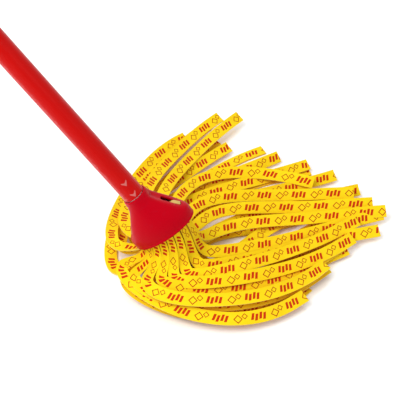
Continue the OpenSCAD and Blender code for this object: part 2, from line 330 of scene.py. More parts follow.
def make_moulded_grain():
    """The fine spark-eroded grain of a steel mould, with a slow drift of gloss over the part."""
    group, given, made = new_group(
        "moulded grain",
        [("Grain size", "NodeSocketFloat", 0.0005), ("Gloss", "NodeSocketFloat", 0.4),
         ("Gloss drift", "NodeSocketFloat", 0.08)],
        ["Height", "Roughness", "Rubbed"],
    )
    place = on_object(group)
    grain_scale = reckon(group, "DIVIDE", 1.0, given["Grain size"])
    grain = noise(group, place, grain_scale, 3.0, Roughness=0.6)
    drift = stretch(group, noise(group, place, 38.0, 4.0), 0.35, 0.65, -1.0, 1.0)
    gloss = reckon(group, "MULTIPLY_ADD", drift, given["Gloss drift"], given["Gloss"])
    rubbed = stretch(group, noise(group, place, 150.0, 6.0), 0.6, 0.75)
    group.links.new(grain, made["Height"])
    group.links.new(gloss, made["Roughness"])
    group.links.new(rubbed, made["Rubbed"])
    return group


moulded_grain = make_moulded_grain()


def moulded_plastic(name, colour, rubbed_colour, gloss, depth, **sockets):
    """Plastic with the mould's grain, and small dull spots where it has been handled."""
    material, tree, shader = new_material(name, colour, gloss, **sockets)
    grain = put(tree, "ShaderNodeGroup", node_tree=moulded_grain)
    grain.inputs["Gloss"].default_value = gloss
    colour_here = tint(tree, grain.outputs["Rubbed"], colour, rubbed_colour)
    tree.links.new(colour_here, shader.inputs["Base Color"])
    tree.links.new(grain.outputs["Roughness"], shader.inputs["Roughness"])
    emboss(tree, shader, grain.outputs["Height"], depth, 0.5)
    return material


BELL_RED, RUBBED_RED = (0.49, 0.0, 0.008), (0.46, 0.002, 0.012)
MOULD_DEPTH = 0.00004
bell_red = moulded_plastic(
    "red bell plastic", BELL_RED, RUBBED_RED, 0.4, MOULD_DEPTH,
    Specular_IOR_Level=0.25, Specular_Tint=(1, 0.12, 0.16, 1))

CROWN = 10
MIDDLE_R = 0.5
SOFT_EDGE = 0.6
HOLLOW_FOOT, HOLLOW_STEPS = 0.8, 30
FACE_FOOT, FACE_BELOW_RIM, FACE_STEPS = 4, 0.8, 50
BESIDE_SOCKET = 0.15
BELL_CREASE = 32
# The mouth's bead, as heights and how far inside the bell's outer face
BEAD = (
    (0, BELL_WALL - SOFT_EDGE), (0, 0.2), (0.25, -0.35), (0.7, -0.6), (1.8, -0.6),
    (2.4, -0.4), (2.9, -0.08), (3.4, 0),
)
socket_underside = SOCKET_FLOOR - SOCKET_FLOOR_T
hollow_top = BELL_H - CROWN
# Round the socket's underside and up to the hollow's top, then down inside the skirt
bell_profile = [
    round_ring(MIDDLE_R, socket_underside), round_ring(COLLAR_R - 1, socket_underside),
    round_ring(COLLAR_R, socket_underside + 1), round_ring(COLLAR_R, hollow_top - 1)]
bell_profile += [
    bell_ring(
        mix(hollow_top, HOLLOW_FOOT, i / HOLLOW_STEPS), BELL_WALL, COLLAR_R + BESIDE_SOCKET)
    for i in range(HOLLOW_STEPS + 1)]
# Round the bead and up the outer face to the rim
bell_profile += [bell_ring(z, inset) for z, inset in BEAD]
bell_profile += [
    bell_ring(mix(FACE_FOOT, BELL_H - FACE_BELOW_RIM, i / FACE_STEPS))
    for i in range(FACE_STEPS + 1)]
bell_profile += [bell_ring(BELL_H - 0.25, 0.2), bell_ring(BELL_H, SOFT_EDGE)]
# Down the bore to the middle of the socket's floor
bell_profile += [
    round_ring(BORE_R + 0.5, BELL_H), round_ring(BORE_R, BELL_H - SOFT_EDGE),
    round_ring(BORE_R, SOCKET_FLOOR + 0.4), round_ring(BORE_R - 0.4, SOCKET_FLOOR),
    round_ring(MIDDLE_R, SOCKET_FLOOR)]
bell = skin_rings("moulded_bell", bell_profile)


def block_along(name, outline, from_x, to_x):
    """A prism along the bell's X through an outline of (y, z) points."""
    return skin_rings(name, [[(x, y, z) for y, z in outline] for x in (from_x, to_x)])


# Three walls stand across the hollow, the middle one the tallest, and stop the carrier's plate
RIB_T, RIB_X, RIB_STEPS = 1.6, 17, 8
RIB_BELOW, MID_RIB_BELOW = 22, 12


def rib_outline(x):
    """A rib's outline beside the bell's middle, reaching halfway into the skirt's wall."""
    top = BELL_H - (MID_RIB_BELOW if x == 0 else RIB_BELOW)
    side = []
    for i in range(RIB_STEPS + 1):
        z = mix(SEAT_H + CARRIER_T, top, i / RIB_STEPS)
        w, d = half_w(z) - BELL_WALL / 2, half_d(z) - BELL_WALL / 2
        side.append((d * math.sqrt(max(0, 1 - (x / w) ** 2)), z))
    return side + [(-y, z) for y, z in reversed(side)]


SLOT_W, SLOT_FROM, SLOT_LEN = 7.5, SEAT_H + 2, 20
SLOT_CORNER, CORNER_STEPS = 2.2, 6


def slot_outline():
    """A release slot, with a round at each corner."""
    outline = []
    for corner, (to_y, to_z) in enumerate(((1, 1), (-1, 1), (-1, -1), (1, -1))):
        y = to_y * (SLOT_W / 2 - SLOT_CORNER)
        z = SLOT_FROM + SLOT_LEN / 2 + to_z * (SLOT_LEN / 2 - SLOT_CORNER)
        for k in range(CORNER_STEPS + 1):
            a = math.pi / 2 * (corner + k / CORNER_STEPS)
            outline.append((y + SLOT_CORNER * math.cos(a), z + SLOT_CORNER * math.sin(a)))
    return outline


rib_and_slot_tools = [
    (block_along("rib", rib_outline(x), x - RIB_T / 2, x + RIB_T / 2), "UNION")
    for x in (-RIB_X, 0, RIB_X)]
rib_and_slot_tools += [
    (block_along("slot tool", slot_outline(), side * (RIB_X + 1), side * BELL_W), "DIFFERENCE")
    for side in (1, -1)]
for tool, operation in rib_and_slot_tools:
    cut = bell.modifiers.new("cut", "BOOLEAN")
    cut.operation = operation
    cut.object = tool
    cut.solver = "EXACT"
apply_modifiers(bell)
for tool, operation in rib_and_slot_tools:
    bpy.data.objects.remove(tool)
shade(bell, BELL_CREASE)
fit(bell, "head", ["bell"], bell_red)

# ---- Handle tube and its marks ----
# A rolled steel tube, 25 mm across, in a glossy red plastic coat that ends just above the
# collar. Two pale printed arrowheads point at the bare end that is pushed into the bell.

TUBE_WALL, TUBE_LEN, TUBE_SIDES = 1, 1200, 96
INNER_R = TUBE_R - TUBE_WALL
FLANGE_T, BARE_RING, COAT_LAP = 2, 1, 0.5
TUBE_FOOT = SOCKET_FLOOR + FLANGE_T
TUBE_TOP = TUBE_FOOT + TUBE_LEN
COAT_FROM = BELL_H + BARE_RING
CUT_EDGE, BURR = 0.2, 0.1
COAT_STEPS = 12
TUBE_CREASE = 50
# Both pieces are turned from closed outlines of (radius, height) points
bare_profile = [
    (INNER_R + BURR, TUBE_FOOT), (BARE_R - CUT_EDGE, TUBE_FOOT), (BARE_R, TUBE_FOOT + CUT_EDGE),
    (BARE_R, COAT_FROM + COAT_LAP), (INNER_R, COAT_FROM + COAT_LAP),
    (INNER_R, TUBE_FOOT + CUT_EDGE)]
coat_profile = [(INNER_R, COAT_FROM), (TUBE_R - BURR, COAT_FROM), (TUBE_R, COAT_FROM + BURR)]
coat_profile += [
    (TUBE_R, mix(COAT_FROM + 1, TUBE_TOP - 1, i / COAT_STEPS)) for i in range(COAT_STEPS + 1)]
coat_profile += [
    (TUBE_R, TUBE_TOP - CUT_EDGE), (TUBE_R - CUT_EDGE, TUBE_TOP), (INNER_R + BURR, TUBE_TOP),
    (INNER_R, TUBE_TOP - CUT_EDGE)]


def turn_profile(name, profile):
    """A turned piece about the handle's axis, shaded round."""
    piece = skin_rings(name, [round_ring(r, z, TUBE_SIDES) for r, z in profile], closed=True)
    shade(piece, TUBE_CREASE)
    return piece


def make_tube_coat():
    """Glossy red coat that follows the tube, whose faint drawing lines run along the handle."""
    material, tree, shader = new_material(
        "red tube coat", (0.58, 0.002, 0.001), 0.25, Specular_IOR_Level=0.2, Coat_Weight=0.12,
        Coat_Roughness=0.08, Specular_Tint=(1, 0.1, 0.1, 1))
    place = on_object(tree)
    along_tube = put(tree, "ShaderNodeMapping", {
        "Vector": place, "Rotation": (0, LEAN, 0)}).outputs[0]
    drawn_out = put(tree, "ShaderNodeMapping", {
        "Vector": along_tube, "Scale": (900, 900, 9)}).outputs[0]
    lines = noise(tree, drawn_out, 1.0, 2.0)
    waves = reckon(tree, "MULTIPLY_ADD", lines, 0.35, noise(tree, place, 260.0, 1.0))
    tree.links.new(stretch(tree, lines, 0.3, 0.7, 0.2, 0.32), shader.inputs["Roughness"])
    emboss(tree, shader, waves, 0.00002, 0.4)
    return material


def make_bare_steel():
    material, tree, shader = new_material(
        "bare zinc-plated steel", (0.66, 0.66, 0.64), 0.3, Metallic=1.0)
    scratches = noise(tree, on_object(tree), 500.0, 4.0)
    tree.links.new(stretch(tree, scratches, 0.3, 0.7, 0.24, 0.4), shader.inputs["Roughness"])
    return material


def make_mark_paint():
    material, tree, shader = new_material("pale mark print", (0.62, 0.12, 0.11), 0.4)
    patchy = tint(
        tree, noise(tree, on_object(tree), 900.0, 3.0), (0.60, 0.10, 0.09), (0.66, 0.17, 0.15))
    tree.links.new(patchy, shader.inputs["Base Color"])
    return material


tube = turn_profile("coated_tube", coat_profile)
fit(tube, "handle", ["handle_tube"], make_tube_coat())
bare_end = turn_profile("bare_tube_end", bare_profile)
fit(bare_end, "handle", ["handle_tube"], make_bare_steel())

MARK_W, MARK_H, MARK_NOTCH, MARK_SLOPE = 7.5, 6.5, 2.4, 0.8
MARK_PROUD, MARK_SUNK, MARK_STEPS = 0.03, 0.1, 12


def arrowhead(name, spot):
    """A thin print bent round the tube, with its point down and a notch in its top."""
    bm = bmesh.new()
    outer, inner = [], []
    for k in range(MARK_STEPS + 1):
        across = mix(-1, 1, k / MARK_STEPS)
        a = math.atan2(spot.y, spot.x) + across * MARK_W / 2 / TUBE_R
        low = spot.z - MARK_H / 2 + abs(across) * MARK_H * MARK_SLOPE
        high = spot.z + MARK_H / 2 - (1 - abs(across)) * MARK_NOTCH
        for r, row in ((TUBE_R + MARK_PROUD, outer), (TUBE_R - MARK_SUNK, inner)):
            row.append([
                bm.verts.new((r * math.cos(a), r * math.sin(a), z)) for z in (low, high)])
    for k in range(MARK_STEPS):
        for row in (outer, inner):
            bm.faces.new((row[k][0], row[k + 1][0], row[k + 1][1], row[k][1]))
        for level in (0, 1):
            bm.faces.new((
                outer[k][level], outer[k + 1][level], inner[k + 1][level], inner[k][level]))
    for k in (0, MARK_STEPS):
        bm.faces.new((outer[k][0], outer[k][1], inner[k][1], inner[k][0]))
    return into_piece(name, bm)


mark_paint = make_mark_paint()
for mark_name, point_name in (("upper_mark", "upper mark"), ("lower_mark", "lower mark")):
    spot = BELL_PLACE.inverted() @ under_pixel(IMAGE_POINTS[point_name], tube)
    mark = arrowhead(mark_name, spot)
    mark.data.materials.append(mark_paint)
    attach(mark, "handle")

# ---- Ferrule and end cap ----
# Two moulded plugs pressed into the tube's ends. The black one stands on the socket's floor;
# the red one has an eye to hang the mop by.

ferrule_black = moulded_plastic(
    "black plug plastic", (0.02, 0.02, 0.021), (0.03, 0.03, 0.03), 0.5, 0.00003)
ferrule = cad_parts["handle_ferrule"]
ferrule.data.materials.clear()
ferrule.data.materials.append(ferrule_black)

# In metres, as a CAD node's mesh is
ROUNDED, MERGE_WITHIN = 0.0004, 0.000002
PART_CREASE = 34


def smoothed_node(node, name):
    """A copy of a CAD node with its corners joined and its edges rounded, as moulded."""
    bm = bmesh.new()
    bm.from_mesh(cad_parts[node].data)
    bmesh.ops.remove_doubles(bm, verts=bm.verts, dist=MERGE_WITHIN)
    mesh = bpy.data.meshes.new(name)
    bm.to_mesh(mesh)
    bm.free()
    piece = bpy.data.objects.new(name, mesh)
    scene.collection.objects.link(piece)
    edges = piece.modifiers.new("soft edges", "BEVEL")
    edges.width = ROUNDED
    edges.segments = 2
    edges.limit_method = "ANGLE"
    edges.angle_limit = math.radians(PART_CREASE)
    apply_modifiers(piece)
    shade(piece, PART_CREASE)
    return piece


cap_red = moulded_plastic("red cap plastic", BELL_RED, RUBBED_RED, 0.4, MOULD_DEPTH)
end_cap = smoothed_node("end_cap", "moulded_end_cap")
fit(end_cap, "handle", ["end_cap"], cap_red)

# ---- Refill carrier and snap lugs ----
# A cream plastic plate with a skirt, pushed up into the bell with the strips fixed to its
# underside. A lug at each end snaps into the bell's slot and is pressed in to let it go.

carrier_cream = moulded_plastic(
    "cream carrier plastic", (0.62, 0.41, 0.10), (0.56, 0.36, 0.08), 0.48, 0.00003)
carrier = smoothed_node("carrier", "moulded_carrier")
fit(carrier, "head", ["carrier"], carrier_cream)
for side, body in (("right", "lug_r"), ("left", "lug_l")):
    lug = smoothed_node("lug_" + side, "moulded_lug_" + side)
    fit(lug, body, ["lug_" + side], carrier_cream)

# ---- Strips ----
# Thirty-five strips of thick yellow non-woven cloth, 15 mm wide and 300 mm long, cut square
# and printed on one side. Each is gathered where it is fixed, and then lies down on the heap.

# Each strip's route over the floor, as the CAD has it: how far it runs
# straight out of the bell, the point it passes halfway, the point it is led to, and the layer
# in which it ends
UPPER = [
    (25, (116, 48), (236, 129), 1.5), (35, (90, 70), (250, 136), 2),
    (50, (76, 92), (254, 152), 2), (60, (56, 108), (240, 167), 2),
    (70, (20, 139), (188, 154), 2), (60, (-18, 146), (34, 268), 2),
    (50, (-44, 128), (10, 262), 2), (50, (-60, 106), (-4, 244), 1.2),
    (40, (-76, 88), (-20, 226), 0.6), (30, (22, -74), (156, -30), 1.3),
    (30, (44, -66), (172, 18), 1.5), (45, (66, -64), (187, 39), 2.4),
    (20, (66, -41), (169, 33), 1.5), (25, (92, -22), (212, 86), 2.1),
    (20, (88, -7), (196, 94), 2.3), (15, (102, 20), (179, 73), 1.4),
]
MIDDLE = [
    (35, (102, 66), (228, 151), 1), (45, (86, 92), (218, 176), 1),
    (60, (67, 118), (188, 200), 1), (60, (40, 128), (156, 216), 1),
    (60, (20, 134), (127, 236), 1), (50, (-18, 134), (92, 258), 1),
    (30, (28, -70), (150, -12), 0.5), (10, (55, -55), (167, 8), 1),
    (19, (94, -13), (238, 101), 1), (6, (108, 28), (224, 134), 0.75),
]
LOWER = [
    (30, (113, 46), (206, 140), 0), (45, (90, 78), (202, 158), 0),
    (60, (42, 126), (150, 200), 0), (60, (1, 136), (80, 225), 0),
    (50, (-43, 110), (5, 212), 0), (35, (-76, 58), (-28, 195), 0),
    (20, (50, -65), (150, -22), 0), (10, (67, -39), (156, 16), 0),
    (10, (83, -7), (172, 64), 0),
]
# The three rings in which they leave the carrier: half width, half depth, layer and routes
RINGS = (
    ("upper", 31, 16, 2, UPPER),
    ("middle", 25.8, 11.4, 1, MIDDLE),
    ("lower", 20.4, 7, 0, LOWER),
)
STRIP_W, STRIP_T, STRIP_LEN = 15, 2, 300
EXIT_SHARE, LANDING, LANDING_FLAT, FIRST_DROP = 0.9, 22, 0.8, 20
DOWN_STEPS, FLOOR_STEPS, LAYER_STEPS = 12, 40, 25
HEAP_RISE, EDGE_RISE, HEAP_NEAR, HEAP_FAR = 13, 6, 50, 200
OVAL_STEP = 5


def oval_angle(w, d, share):
    """The angle at a share of the way round an oval, by the length of its outline."""
    steps = [math.radians(a) for a in range(0, 360 + OVAL_STEP, OVAL_STEP)]
    runs = [0.0]
    for a, b in zip(steps, steps[1:]):
        runs.append(runs[-1] + math.hypot(
            w * (math.cos(b) - math.cos(a)), d * (math.sin(b) - math.sin(a))))
    want = (share % 1) * runs[-1]
    for i in range(len(steps) - 1):
        if runs[i + 1] >= want:
            return mix(steps[i], steps[i + 1], (want - runs[i]) / (runs[i + 1] - runs[i]))
    return steps[-1]


def bezier(p, t):
    u = 1 - t
    return p[0] * u ** 3 + p[1] * 3 * u * u * t + p[2] * 3 * u * t * t + p[3] * t ** 3


def lying(p, layer):
    """A strip's middle line on the heap over a floor point, counted from the bell."""
    far = smooth((math.hypot(p.x, p.y) - HEAP_NEAR) / (HEAP_FAR - HEAP_NEAR))
    return Vector((p.x, p.y, STRIP_T / 2 + layer * mix(HEAP_RISE, EDGE_RISE, far)))


def strip_route(angle, w, d, first_layer, row):
    """The run of one strip, as the CAD has it: out of the bell, down, and over the floor."""
    straight, halfway, led_to, last_layer = row
    root = Vector((w * math.cos(angle), d * math.sin(angle), SEAT_H))
    ahead = (LEANT @ Vector((math.cos(angle), math.sin(angle), 0))).xy.normalized()
    edge = LEANT @ Vector((BELL_W / 2 * math.cos(angle), BELL_D / 2 * math.sin(angle), 0))
    down = edge.xy * EXIT_SHARE + ahead * LANDING
    landed = lying(down, first_layer)
    fall = [
        LEANT @ root + MOUTH,
        LEANT @ (root - Vector((0, 0, SEAT_H + FIRST_DROP))) + MOUTH,
        landed - Vector((*ahead, 0)) * LANDING * LANDING_FLAT,
        landed,
    ]
    turn_in = down + ahead * straight
    led_to = Vector(led_to)
    # The third handle takes the middle of the curve through the halfway point
    sweep = [down, turn_in, (8 * Vector(halfway) - down - 3 * turn_in - led_to) / 3, led_to]
    points = [bezier(fall, i / DOWN_STEPS) for i in range(DOWN_STEPS + 1)]
    points += [
        lying(
            bezier(sweep, i / FLOOR_STEPS),
            mix(first_layer, last_layer, smooth(i / LAYER_STEPS)))
        for i in range(1, FLOOR_STEPS + 1)]
    way = points[-1] - points[-2]
    way.z = 0
    points.append(points[-1] + way.normalized() * STRIP_LEN)
    return points


def spread_evenly(points, count):
    """Points at equal steps along a route, over the strip's length."""
    found, i, run = [], 0, 0.0
    for k in range(count):
        want = STRIP_LEN * k / (count - 1)
        step = (points[i + 1] - points[i]).length
        while run + step < want:
            run += step
            i += 1
            step = (points[i + 1] - points[i]).length
        found.append(points[i].lerp(points[i + 1], (want - run) / step))
    return found


# The strip's cut section, as (share of half its width, share of half its thickness): nine
# points over the printed face, one at each cut edge, nine over the back, and the first again
FACE_POINTS, FACE_SHARE = 9, 0.985
face_shares = [mix(-FACE_SHARE, FACE_SHARE, i / (FACE_POINTS - 1)) for i in range(FACE_POINTS)]
SECTION = [(u, 1) for u in face_shares] + [(1, 0)]
SECTION += [(-u, -1) for u in face_shares] + [(-1, 0), (-FACE_SHARE, 1)]
section_mesh = bpy.data.meshes.new("strip section")
section_mesh.from_pydata([(u, v, 0) for u, v in SECTION], [], [])
section = bpy.data.objects.new("strip section", section_mesh)
scene.collection.objects.link(section)

STATIONS = 101
CLOTH_CREASE = 40
# A cupped strip bows as the square of the share across it, less this, so that it keeps its place
BOW_ZERO = 0.4
CUT_INPUTS = (
    ("Route", "NodeSocketGeometry"), ("Section", "NodeSocketObject"),
    ("Thickness", "NodeSocketFloat"), ("Length", "NodeSocketFloat"),
    ("Print start", "NodeSocketFloat"), ("Stations", "NodeSocketInt"),
    ("Section points", "NodeSocketInt"), ("Cloth", "NodeSocketMaterial"),
)


def vector_sum(tree, first, second):
    return put(tree, "ShaderNodeVectorMath", {0: first, 1: second}).outputs[0]


def lengthen(tree, direction, by):
    return put(tree, "ShaderNodeVectorMath", {
        0: direction, "Scale": by}, operation="SCALE").outputs[0]


def make_cut_strip():
    """Geometry nodes that run the strip's section along a route and bow it to the cup."""
    tree = bpy.data.node_groups.new("cut strip", "GeometryNodeTree")
    for socket, kind in CUT_INPUTS:
        tree.interface.new_socket(socket, in_out="INPUT", socket_type=kind)
    tree.interface.new_socket("Strip", in_out="OUTPUT", socket_type="NodeSocketGeometry")
    given = put(tree, "NodeGroupInput").outputs
    grid = put(tree, "GeometryNodeMeshGrid", {
        "Vertices X": given["Stations"], "Vertices Y": given["Section points"]})
    number = put(tree, "GeometryNodeInputIndex").outputs[0]
    station = reckon(tree, "FLOOR", reckon(tree, "DIVIDE", number, given["Section points"]))
    column = reckon(tree, "MODULO", number, given["Section points"])

    def taken_from(geometry, value, kind, index):
        return put(tree, "GeometryNodeSampleIndex", {
            "Geometry": geometry, "Value": value, "Index": index},
            data_type=kind, domain="POINT").outputs["Value"]

    def along_route(name, kind):
        """A route attribute at the grid point's station."""
        read = put(tree, "GeometryNodeInputNamedAttribute", {"Name": name}, data_type=kind)
        return taken_from(given["Route"], read.outputs["Attribute"], kind, station)

    position = put(tree, "GeometryNodeInputPosition").outputs[0]
    on_route = taken_from(given["Route"], position, "FLOAT_VECTOR", station)
    section_shape = put(tree, "GeometryNodeObjectInfo", {"Object": given["Section"]})
    in_section = put(tree, "ShaderNodeSeparateXYZ", {0: taken_from(
        section_shape.outputs["Geometry"], position, "FLOAT_VECTOR", column)}).outputs
    half_width = reckon(tree, "MULTIPLY", in_section["X"], along_route("half_width", "FLOAT"))
    full = reckon(tree, "MULTIPLY", in_section["Y"], along_route("full", "FLOAT"))
    half_thick = reckon(tree, "MULTIPLY", reckon(tree, "MULTIPLY", full, given["Thickness"]), 0.5)
    bowed = reckon(tree, "MULTIPLY_ADD", in_section["X"], in_section["X"], -BOW_ZERO)
    lift = reckon(tree, "MULTIPLY_ADD", bowed, along_route("cup", "FLOAT"), half_thick)
    sideways = lengthen(tree, along_route("across", "FLOAT_VECTOR"), half_width)
    outwards = lengthen(tree, along_route("facing", "FLOAT_VECTOR"), lift)
    new_place = vector_sum(tree, vector_sum(tree, sideways, outwards), on_route)

    # The print's map: metres along the strip, and 0 to 1 across its face, then round its back
    grid_share = put(tree, "ShaderNodeSeparateXYZ", {0: grid.outputs["UV Map"]}).outputs
    print_along = reckon(
        tree, "MULTIPLY_ADD", grid_share["X"], given["Length"], given["Print start"])
    print_across = reckon(
        tree, "MULTIPLY", grid_share["Y"], (len(SECTION) - 1) / (FACE_POINTS - 1))
    print_place = put(tree, "ShaderNodeCombineXYZ", {0: print_along, 1: print_across}).outputs[0]
    with_print = put(tree, "GeometryNodeStoreNamedAttribute", {
        "Geometry": grid.outputs["Mesh"], "Name": "UVMap", "Value": print_place},
        data_type="FLOAT2", domain="CORNER")
    shaped = put(tree, "GeometryNodeSetPosition", {
        "Geometry": with_print.outputs[0], "Position": new_place})
    closed = put(tree, "GeometryNodeMergeByDistance", {
        "Geometry": shaped.outputs[0], "Distance": 0.00001})
    realized = put(tree, "GeometryNodeRealizeInstances", {"Geometry": closed.outputs[0]})
    clothed = put(tree, "GeometryNodeSetMaterial", {
        "Geometry": realized.outputs[0], "Material": given["Cloth"]})
    tree.links.new(clothed.outputs[0], put(tree, "NodeGroupOutput").inputs["Strip"])
    return tree


def make_matted_cloth():
    """Non-woven cloth: matted fibres, and the small dimples of the rollers that bonded them."""
    group, given, made = new_group(
        "matted cloth",
        [("Place", "NodeSocketVector", None), ("Fibre size", "NodeSocketFloat", 0.0006),
         ("Dimple size", "NodeSocketFloat", 0.0014)],
        ["Height", "Tone"],
    )
    fibres = noise(
        group, given["Place"], reckon(group, "DIVIDE", 1.0, given["Fibre size"]), 6.0,
        Roughness=0.7, Distortion=1.2)
    dimples = put(group, "ShaderNodeTexVoronoi", {
        "Vector": given["Place"], "Scale": reckon(group, "DIVIDE", 1.0, given["Dimple size"]),
        "Randomness": 0.35})
    pressed = stretch(group, dimples.outputs["Distance"], 0.1, 0.45)
    clouds = noise(group, given["Place"], 70.0, 3.0)
    group.links.new(reckon(group, "MULTIPLY_ADD", fibres, 0.7, pressed), made["Height"])
    group.links.new(reckon(group, "MULTIPLY_ADD", fibres, 0.4, clouds), made["Tone"])
    return group


# The print, in metres: four leaning bars, every second one set over a little, and then an
# outlined diamond with a smaller one beside it
PRINT_REPEAT, PRINT_WIDTH = 0.042, 0.015
BARS, BARS_FROM, BAR_PITCH, BAR_W, BAR_LEAN = 4, 0.005, 0.0045, 0.003, 0.3
BAR_MIDDLE, BAR_HALF, BAR_SHIFT = 0.0069, 0.0037, 0.0012
# Each diamond's place along and across the strip, its half diagonal and half its line
DIAMONDS = ((0.030, 0.0085, 0.0044, 0.0007), (0.0375, 0.0055, 0.003, 0.0006))


def make_strip_print():
    """Masks of the bars and the diamonds, from metres along the strip and a share across it."""
    group, given, made = new_group(
        "strip print",
        [("Along", "NodeSocketFloat", 0.0), ("Across", "NodeSocketFloat", 0.0),
         ("Repeat", "NodeSocketFloat", PRINT_REPEAT)],
        ["Bars", "Diamonds"],
    )

    def work(operation, *values):
        return reckon(group, operation, *values)

    along = work("FLOORED_MODULO", given["Along"], given["Repeat"])
    across = work("MULTIPLY", given["Across"], PRINT_WIDTH)
    slant = work("MULTIPLY_ADD", across, BAR_LEAN, work("SUBTRACT", along, BARS_FROM))
    bar_number = work("FLOOR", work("DIVIDE", slant, BAR_PITCH))
    bar_place = work("FLOORED_MODULO", slant, BAR_PITCH)
    bar_shift = work("MULTIPLY", work("FLOORED_MODULO", bar_number, 2.0), BAR_SHIFT)
    bar_off = work("ABSOLUTE", work("SUBTRACT", work("SUBTRACT", across, bar_shift), BAR_MIDDLE))
    bar_kept = work(
        "MULTIPLY", work("GREATER_THAN", bar_number, -0.5),
        work("LESS_THAN", bar_number, BARS - 0.5))
    bar_here = work(
        "MULTIPLY", work("LESS_THAN", bar_place, BAR_W), work("LESS_THAN", bar_off, BAR_HALF))
    diamonds = 0.0
    for middle_along, middle_across, half, half_line in DIAMONDS:
        off = work(
            "ADD", work("ABSOLUTE", work("SUBTRACT", along, middle_along)),
            work("ABSOLUTE", work("SUBTRACT", across, middle_across)))
        outline = work("LESS_THAN", work("ABSOLUTE", work("SUBTRACT", off, half)), half_line)
        diamonds = work("MAXIMUM", diamonds, outline)
    group.links.new(work("MULTIPLY", bar_kept, bar_here), made["Bars"])
    group.links.new(diamonds, made["Diamonds"])
    return group


# The print's map counts 1 across a face and 0.25 over the cut edge after it
FACE_AND_EDGE = 1.25


def make_printed_cloth():
    """Yellow cloth, paler where it is cut, with the print on its face only, and painted orange
    shade in the deep places between strips.
    """
    material, tree, shader = new_material(
        "printed strip cloth", (0.90, 0.66, 0.010), 0.9, Sheen_Weight=0.05,
        Specular_IOR_Level=0.1)
    print_map = put(tree, "ShaderNodeUVMap", uv_map="UVMap").outputs["UV"]
    matted = put(tree, "ShaderNodeGroup", {
        "Place": on_object(tree)}, node_tree=make_matted_cloth()).outputs
    map_parts = put(tree, "ShaderNodeSeparateXYZ", {0: print_map}).outputs
    printed = put(tree, "ShaderNodeGroup", {
        "Along": map_parts["X"], "Across": map_parts["Y"]}, node_tree=make_strip_print()).outputs
    on_face = reckon(tree, "LESS_THAN", map_parts["Y"], 1.0)
    on_edge = reckon(
        tree, "GREATER_THAN", reckon(tree, "FLOORED_MODULO", map_parts["Y"], FACE_AND_EDGE), 1.0)
    yellow = tint(tree, matted["Tone"], (0.90, 0.56, 0.006), (0.96, 0.70, 0.008))
    with_edge = tint(tree, on_edge, yellow, (0.95, 0.80, 0.16))
    # Painted shade: the colour turns orange in the deep places between strips, as far as ambient
    # occlusion finds them closed in
    painted_shade_ao = put(tree, "ShaderNodeAmbientOcclusion", {"Distance": 0.02}, samples=8)
    shaded = tint(
        tree, stretch(tree, painted_shade_ao.outputs["AO"], 0.15, 0.75), (0.83, 0.36, 0.010), with_edge)
    bars_here = reckon(tree, "MULTIPLY", printed["Bars"], on_face)
    with_bars = tint(tree, bars_here, shaded, (0.56, 0.035, 0.003))
    diamonds_here = reckon(tree, "MULTIPLY", printed["Diamonds"], on_face)
    with_diamonds = tint(tree, diamonds_here, with_bars, (0.45, 0.05, 0.004))
    tree.links.new(with_diamonds, shader.inputs["Base Color"])
    emboss(tree, shader, matted["Height"], 0.00012, 0.6)
    return material


# Width where it is gathered, and the shares of a strip between which it widens, by which its
# face has turned up and leans to the front, and between which its loose end begins to roll
GATHERED_W, GATHER_FROM, GATHER_TO = 8.5, 0.07, 0.3
FACE_UP_BY, LEANT_BY, LOOSE_FROM, LOOSE_TO = 0.24, 0.25, 0.25, 0.55
# The cup is how far a strip's edges stand above its middle; the lowest layer lies nearly flat
GATHERED_CUP, LOW_CUP, CUP_EASED_BY = 1.2, -0.2, 0.35
LEAN_TO_FRONT, FULL_WAVE = 30, 6.28


def lay_strip(line, face_out, on_floor, own):
    """The cloth's width, cup, and ways across and up at each station of its middle line."""
    roll_swing = own.uniform(3, 8)
    roll_wave = own.uniform(90, 150)
    roll_start = own.uniform(0, 6.3)
    cup_swing = LOW_CUP if on_floor else own.uniform(-0.5, 0.9)
    lean_to_front = 0 if on_floor else LEAN_TO_FRONT
    if on_floor:
        roll_swing = 0
    laid = {"place": [], "across": [], "facing": [], "half_width": [], "cup": []}
    for k, p in enumerate(line):
        share = k / (STATIONS - 1)
        ahead = (line[min(k + 1, STATIONS - 1)] - line[max(k - 1, 0)]).normalized()
        if k == 0:
            ahead = LEANT @ Vector((0, 0, -1))
        up = face_out.lerp(Vector((0, 0, 1)), smooth(share / FACE_UP_BY))
        flat_across = ahead.cross(up).normalized()
        flat_up = flat_across.cross(ahead)
        loose = smooth((share - LOOSE_FROM) / (LOOSE_TO - LOOSE_FROM))
        towards_front = -look_level.dot(flat_across)
        wave = math.sin(share * STRIP_LEN / roll_wave * FULL_WAVE + roll_start)
        roll = math.radians(
            -lean_to_front * towards_front * smooth(share / LEANT_BY)
            + loose * roll_swing * wave)
        width = mix(
            GATHERED_W, STRIP_W, smooth((share - GATHER_FROM) / (GATHER_TO - GATHER_FROM)))
        laid["place"].append((p - FAN_MIDDLE) * MM)
        laid["across"].append(flat_across * math.cos(roll) + flat_up * math.sin(roll))
        laid["facing"].append(flat_up * math.cos(roll) - flat_across * math.sin(roll))
        laid["half_width"].append(width / 2 * MM)
        laid["cup"].append(mix(GATHERED_CUP, cup_swing, smooth(share / CUP_EASED_BY)) * MM)
    return laid


